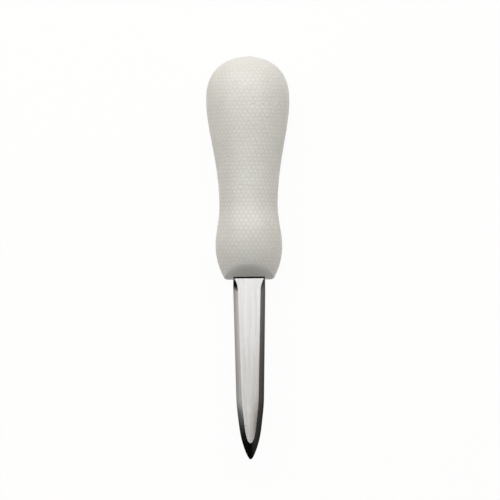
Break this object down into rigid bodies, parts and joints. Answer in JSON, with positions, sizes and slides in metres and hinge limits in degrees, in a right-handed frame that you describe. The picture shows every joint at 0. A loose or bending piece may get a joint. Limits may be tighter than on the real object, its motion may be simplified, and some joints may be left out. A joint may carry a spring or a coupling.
{
  "type": "oyster knife",
  "caption": "Oyster knife with a stiff spear-pointed steel blade and a pear-shaped textured plastic handle moulded round its tang.",
  "frame": {"origin": "under the middle of the knife's bounding box, on the level of the handle's lowest point", "axes": "+Y along the knife towards the butt, +X across the blade, +Z square to the blade's flat"},
  "size_m": [0.0446, 0.2154, 0.036],
  "materials": {
    "steel": "satin ground stainless steel",
    "grip": "off-white moulded plastic with a fine raised pebble texture and a smooth nose"
  },
  "bodies": {
    "root": {"blade": "steel", "handle": "grip"}
  },
  "joints": []
}
